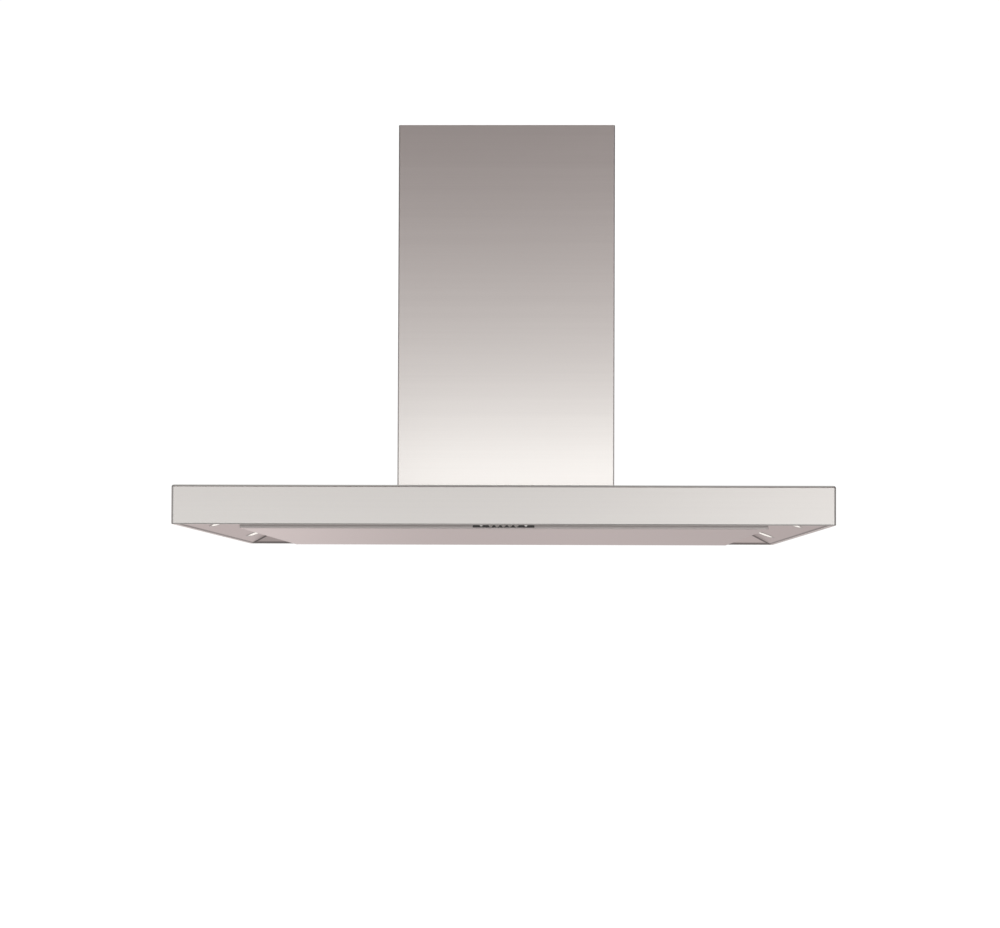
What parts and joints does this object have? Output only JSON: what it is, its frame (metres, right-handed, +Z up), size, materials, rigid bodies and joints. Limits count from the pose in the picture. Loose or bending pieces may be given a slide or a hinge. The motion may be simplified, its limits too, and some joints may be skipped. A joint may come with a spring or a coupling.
{
  "type": "island range hood",
  "caption": "Ceiling-hung island range hood: flat brushed steel canopy, telescopic rectangular chimney, underside filter cover, lamps, push buttons and a built-in blower.",
  "frame": {"origin": "centre of the ceiling plate's top face, at the ceiling", "axes": "+Z up, +X along the hood's width, -Y towards the front with the buttons"},
  "size_m": [1.2, 0.65, 0.7942],
  "materials": {
    "brushed_stainless": "brushed along the width",
    "tray_steel": "brushed, satin",
    "zinc_plated": "zinc plated sheet, dull",
    "fastener_steel": "bright plated",
    "shaft_steel": "ground",
    "filter_aluminium": "expanded mesh in a folded frame",
    "button_metal": "fine turned",
    "fascia_black": "smooth",
    "latch_plastic": "fine grain",
    "indicator_lens": "milky",
    "circuit_board": "solder resist",
    "lamp_glass": "frosted, lit",
    "lamp_metal": "satin ring",
    "lamp_can": "spun can",
    "housing_grey": "moulded, fine grain",
    "collar_black": "moulded, fine grain",
    "bush_rubber": "matt",
    "impeller_metal": "plain sheet",
    "magnet_holder": "moulded",
    "wire_sleeve": "braided sleeve"
  },
  "bodies": {
    "ceiling_frame": {"ceiling_plate": "zinc_plated", "upper_frame_posts": "zinc_plated", "upper_frame_braces": "zinc_plated", "upper_chimney_front": "brushed_stainless", "upper_chimney_rear": "brushed_stainless", "upper_chimney_screws": "fastener_steel"},
    "canopy": {"lower_frame_posts": "zinc_plated", "lower_frame_braces": "zinc_plated", "rail_lock_screws": "fastener_steel", "lower_chimney_front": "brushed_stainless", "lower_chimney_rear": "brushed_stainless", "chimney_base_screws": "fastener_steel", "canopy_shell": "brushed_stainless", "inner_tray": "tray_steel", "filter_rails": "tray_steel", "grease_filter_left": "filter_aluminium", "grease_filter_centre": "filter_aluminium", "grease_filter_right": "filter_aluminium", "control_rail": "tray_steel", "control_fascia": "fascia_black", "indicator_lights": "indicator_lens", "control_board": "circuit_board", "cover_hinge_brackets": "zinc_plated", "cover_hinge_pins": "shaft_steel", "cover_magnets": "magnet_holder", "lamp_bezels": "lamp_metal", "lamp_lenses": "lamp_glass", "lamp_housings": "lamp_can", "lamp_transformer": "housing_grey", "fan_box": "zinc_plated", "scroll_housing_left": "housing_grey", "scroll_housing_right": "housing_grey", "motor": "zinc_plated", "motor_bearings": "shaft_steel", "motor_bracket": "zinc_plated", "motor_bushes": "bush_rubber", "outlet_plenum": "zinc_plated", "outlet_collar": "collar_black", "damper_pin": "shaft_steel", "electronics_box": "zinc_plated", "electronics_cover": "zinc_plated", "power_board": "circuit_board", "capacitor": "housing_grey", "cable_gland": "collar_black", "wiring_harness": "wire_sleeve"},
    "filter_cover": {"filter_cover": "tray_steel", "cover_hinge_leaves": "zinc_plated", "cover_strikers": "zinc_plated"},
    "impeller": {"impeller": "impeller_metal", "motor_shaft": "shaft_steel"},
    "damper_flap_front": {"damper_flap_front": "collar_black"},
    "damper_flap_rear": {"damper_flap_rear": "collar_black"},
    "filter_latch_left": {"filter_latch_left": "latch_plastic"},
    "filter_latch_centre": {"filter_latch_centre": "latch_plastic"},
    "filter_latch_right": {"filter_latch_right": "latch_plastic"},
    "button_1": {"button_1": "button_metal"},
    "button_2": {"button_2": "button_metal"},
    "button_3": {"button_3": "button_metal"},
    "button_4": {"button_4": "button_metal"},
    "button_5": {"button_5": "button_metal"}
  },
  "joints": [
    {"name": "canopy_slide", "type": "slide", "parent": "ceiling_frame", "child": "canopy", "axis": [0, 0, -1], "range_m": [0, 0.3]},
    {"name": "cover_hinge", "type": "hinge", "parent": "canopy", "child": "filter_cover", "pos_m": [0, 0.27, -0.787], "axis": [1, 0, 0], "range_deg": [0, 85]},
    {"name": "impeller_spin", "type": "hinge", "parent": "canopy", "child": "impeller", "pos_m": [0, -0.0075, -0.6085], "axis": [1, 0, 0], "continuous": true},
    {"name": "flap_front_hinge", "type": "hinge", "parent": "canopy", "child": "damper_flap_front", "pos_m": [0, 0, -0.405], "axis": [-1, 0, 0], "range_deg": [0, 75]},
    {"name": "flap_rear_hinge", "type": "hinge", "parent": "canopy", "child": "damper_flap_rear", "pos_m": [0, 0, -0.405], "axis": [1, 0, 0], "range_deg": [0, 75]},
    {"name": "latch_left_slide", "type": "slide", "parent": "canopy", "child": "filter_latch_left", "axis": [0, 1, 0], "range_m": [0, 0.004], "stiffness_N_per_m": 400},
    {"name": "latch_centre_slide", "type": "slide", "parent": "canopy", "child": "filter_latch_centre", "axis": [0, 1, 0], "range_m": [0, 0.004], "stiffness_N_per_m": 400},
    {"name": "latch_right_slide", "type": "slide", "parent": "canopy", "child": "filter_latch_right", "axis": [0, 1, 0], "range_m": [0, 0.004], "stiffness_N_per_m": 400},
    {"name": "button_1_press", "type": "slide", "parent": "canopy", "child": "button_1", "axis": [0, 1, 0], "range_m": [0, 0.0015], "stiffness_N_per_m": 600},
    {"name": "button_2_press", "type": "slide", "parent": "canopy", "child": "button_2", "axis": [0, 1, 0], "range_m": [0, 0.0015], "stiffness_N_per_m": 600},
    {"name": "button_3_press", "type": "slide", "parent": "canopy", "child": "button_3", "axis": [0, 1, 0], "range_m": [0, 0.0015], "stiffness_N_per_m": 600},
    {"name": "button_4_press", "type": "slide", "parent": "canopy", "child": "button_4", "axis": [0, 1, 0], "range_m": [0, 0.0015], "stiffness_N_per_m": 600},
    {"name": "button_5_press", "type": "slide", "parent": "canopy", "child": "button_5", "axis": [0, 1, 0], "range_m": [0, 0.0015], "stiffness_N_per_m": 600}
  ]
}
